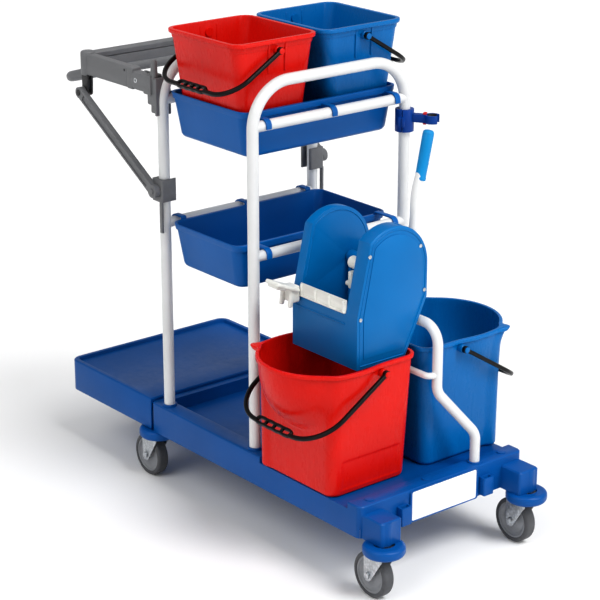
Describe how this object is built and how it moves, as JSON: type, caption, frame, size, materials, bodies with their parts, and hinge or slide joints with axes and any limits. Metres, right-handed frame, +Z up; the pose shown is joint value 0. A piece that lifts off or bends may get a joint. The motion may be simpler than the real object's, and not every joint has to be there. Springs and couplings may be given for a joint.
{
  "type": "housekeeping cart",
  "caption": "Wheeled cleaning cart with two tube frames, hooked trays, a folding bag holder with push handle, mop buckets with bails and a lever wringer.",
  "frame": {"origin": "floor level, middle of the whole cart in length and width", "axes": "+X to the front end with the mop buckets, +Y to the cart's left, +Z up"},
  "size_m": [1.175, 0.612, 1.085],
  "materials": {
    "chassis_blue": "semi-gloss moulded",
    "tray_blue": "semi-gloss moulded",
    "bucket_blue": "gloss moulded",
    "bucket_red": "gloss moulded",
    "wringer_blue": "semi-gloss moulded",
    "bail_black": "satin moulded",
    "tube_white": "gloss powder coat",
    "holder_grey": "satin moulded",
    "hanger_black": "satin moulded",
    "zinc_steel": "zinc plated",
    "rim_grey": "satin moulded",
    "tyre_grey": "matte tread",
    "plate_white": "printed plate, blank",
    "guide_white": "satin moulded",
    "grip_blue": "soft gloss sleeve",
    "clip_blue": "semi-gloss moulded",
    "clip_red": "satin moulded",
    "pad_black": "matte rubber"
  },
  "bodies": {
    "cart": {"chassis": "chassis_blue", "rear_platform": "chassis_blue", "label_plate": "plate_white", "bumper_rings": "chassis_blue", "front_frame": "tube_white", "rear_frame": "tube_white", "front_rails": "tube_white", "rear_rails": "tube_white", "upper_tray": "tray_blue", "lower_tray": "tray_blue", "wringer_tube": "tube_white", "wringer_brace": "tube_white", "post_brackets": "holder_grey", "fold_pins": "zinc_steel", "clip_clamp": "clip_blue", "clip_arm": "clip_blue", "clip_pads": "pad_black", "clip_cam": "clip_red"},
    "castor_fr": {"castor_fr_fork": "zinc_steel", "castor_fr_axle": "zinc_steel"},
    "wheel_fr": {"castor_fr_rim": "rim_grey", "castor_fr_tyre": "tyre_grey"},
    "castor_fl": {"castor_fl_fork": "zinc_steel", "castor_fl_axle": "zinc_steel"},
    "wheel_fl": {"castor_fl_rim": "rim_grey", "castor_fl_tyre": "tyre_grey"},
    "castor_rr": {"castor_rr_fork": "zinc_steel", "castor_rr_axle": "zinc_steel"},
    "wheel_rr": {"castor_rr_rim": "rim_grey", "castor_rr_tyre": "tyre_grey"},
    "castor_rl": {"castor_rl_fork": "zinc_steel", "castor_rl_axle": "zinc_steel"},
    "wheel_rl": {"castor_rl_rim": "rim_grey", "castor_rl_tyre": "tyre_grey"},
    "bag_holder": {"bag_arms": "holder_grey", "bag_bar": "holder_grey", "push_handle": "holder_grey", "strut_hangers": "hanger_black"},
    "strut_right": {"strut_right": "holder_grey"},
    "strut_clamp_right": {"strut_clamp_right": "holder_grey"},
    "strut_left": {"strut_left": "holder_grey"},
    "strut_clamp_left": {"strut_clamp_left": "holder_grey"},
    "small_bucket_right": {"small_bucket_right": "bucket_red"},
    "small_bail_right": {"small_bail_right": "bail_black"},
    "small_bucket_left": {"small_bucket_left": "bucket_blue"},
    "small_bail_left": {"small_bail_left": "bail_black"},
    "mop_bucket_right": {"mop_bucket_right": "bucket_red"},
    "mop_bail_right": {"mop_bail_right": "bail_black"},
    "mop_bucket_left": {"mop_bucket_left": "bucket_blue"},
    "mop_bail_left": {"mop_bail_left": "bail_black"},
    "wringer": {"wringer_shell": "wringer_blue", "wringer_panel": "wringer_blue", "wringer_screws": "zinc_steel", "wringer_rib_plate": "guide_white", "wringer_guides": "guide_white"},
    "press": {"press_shaft": "zinc_steel", "press_plate": "wringer_blue", "lever_tube": "tube_white", "lever_grip": "grip_blue"},
    "release": {"release_lever": "guide_white"}
  },
  "joints": [
    {"name": "castor_fr_swivel", "type": "hinge", "parent": "cart", "child": "castor_fr", "pos_m": [0.5425, -0.205, 0.129], "axis": [0, 0, 1], "continuous": true},
    {"name": "castor_fr_roll", "type": "hinge", "parent": "castor_fr", "child": "wheel_fr", "pos_m": [0.5125, -0.205, 0.05], "axis": [0, 1, 0], "continuous": true},
    {"name": "castor_fl_swivel", "type": "hinge", "parent": "cart", "child": "castor_fl", "pos_m": [0.5425, 0.205, 0.129], "axis": [0, 0, 1], "continuous": true},
    {"name": "castor_fl_roll", "type": "hinge", "parent": "castor_fl", "child": "wheel_fl", "pos_m": [0.5125, 0.205, 0.05], "axis": [0, 1, 0], "continuous": true},
    {"name": "castor_rr_swivel", "type": "hinge", "parent": "cart", "child": "castor_rr", "pos_m": [-0.2475, -0.205, 0.129], "axis": [0, 0, 1], "continuous": true},
    {"name": "castor_rr_roll", "type": "hinge", "parent": "castor_rr", "child": "wheel_rr", "pos_m": [-0.2775, -0.205, 0.05], "axis": [0, 1, 0], "continuous": true},
    {"name": "castor_rl_swivel", "type": "hinge", "parent": "cart", "child": "castor_rl", "pos_m": [-0.2475, 0.205, 0.129], "axis": [0, 0, 1], "continuous": true},
    {"name": "castor_rl_roll", "type": "hinge", "parent": "castor_rl", "child": "wheel_rl", "pos_m": [-0.2775, 0.205, 0.05], "axis": [0, 1, 0], "continuous": true},
    {"name": "bag_fold", "type": "hinge", "parent": "cart", "child": "bag_holder", "pos_m": [-0.2605, 0, 0.95], "axis": [0, -1, 0], "range_deg": [0, 84]},
    {"name": "strut_right_fold", "type": "hinge", "parent": "bag_holder", "child": "strut_right", "pos_m": [-0.4725, -0.239, 0.885], "axis": [0, 1, 0], "range_deg": [0, 138.8]},
    {"name": "strut_right_slide", "type": "slide", "parent": "cart", "child": "strut_clamp_right", "axis": [0, 0, -1], "range_m": [0, 0.3102]},
    {"name": "strut_left_fold", "type": "hinge", "parent": "bag_holder", "child": "strut_left", "pos_m": [-0.4725, 0.239, 0.885], "axis": [0, 1, 0], "range_deg": [0, 138.8]},
    {"name": "strut_left_slide", "type": "slide", "parent": "cart", "child": "strut_clamp_left", "axis": [0, 0, -1], "range_m": [0, 0.3102]},
    {"name": "small_bucket_right_lift", "type": "slide", "parent": "cart", "child": "small_bucket_right", "axis": [0, 0, 1], "range_m": [0, 0.12]},
    {"name": "small_bail_right_swing", "type": "hinge", "parent": "small_bucket_right", "child": "small_bail_right", "pos_m": [-0.0285, -0.119, 1.061], "axis": [-1, 0, 0], "range_deg": [0, 150]},
    {"name": "small_bucket_left_lift", "type": "slide", "parent": "cart", "child": "small_bucket_left", "axis": [0, 0, 1], "range_m": [0, 0.12]},
    {"name": "small_bail_left_swing", "type": "hinge", "parent": "small_bucket_left", "child": "small_bail_left", "pos_m": [-0.0285, 0.119, 1.061], "axis": [1, 0, 0], "range_deg": [0, 150]},
    {"name": "mop_bucket_right_lift", "type": "slide", "parent": "cart", "child": "mop_bucket_right", "axis": [0, 0, 1], "range_m": [0, 0.1]},
    {"name": "mop_bail_right_swing", "type": "hinge", "parent": "mop_bucket_right", "child": "mop_bail_right", "pos_m": [0.2965, -0.112, 0.444], "axis": [-1, 0, 0], "range_deg": [0, 75]},
    {"name": "mop_bucket_left_lift", "type": "slide", "parent": "cart", "child": "mop_bucket_left", "axis": [0, 0, 1], "range_m": [0, 0.03]},
    {"name": "mop_bail_left_swing", "type": "hinge", "parent": "mop_bucket_left", "child": "mop_bail_left", "pos_m": [0.2965, 0.112, 0.444], "axis": [1, 0, 0], "range_deg": [0, 120]},
    {"name": "wringer_lift", "type": "slide", "parent": "mop_bucket_right", "child": "wringer", "axis": [0, 0, 1], "range_m": [0, 0.15]},
    {"name": "press_lever", "type": "hinge", "parent": "wringer", "child": "press", "pos_m": [0.2965, -0.022, 0.625], "axis": [-1, 0, 0], "range_deg": [0, 30], "stiffness_Nm_per_rad": 2.5, "springref_deg": -17.19},
    {"name": "release_lever_tilt", "type": "hinge", "parent": "wringer", "child": "release", "pos_m": [0.2055, -0.1675, 0.578], "axis": [-1, 0, 0], "range_deg": [0, 20]}
  ],
  "couplings": [
    {"joint": "strut_right_fold", "follows": "bag_fold", "ratio": 1.6461},
    {"joint": "strut_right_slide", "follows": "bag_fold", "m_per_rad": 0.21091},
    {"joint": "strut_left_fold", "follows": "bag_fold", "ratio": 1.6461},
    {"joint": "strut_left_slide", "follows": "bag_fold", "m_per_rad": 0.21091}
  ]
}
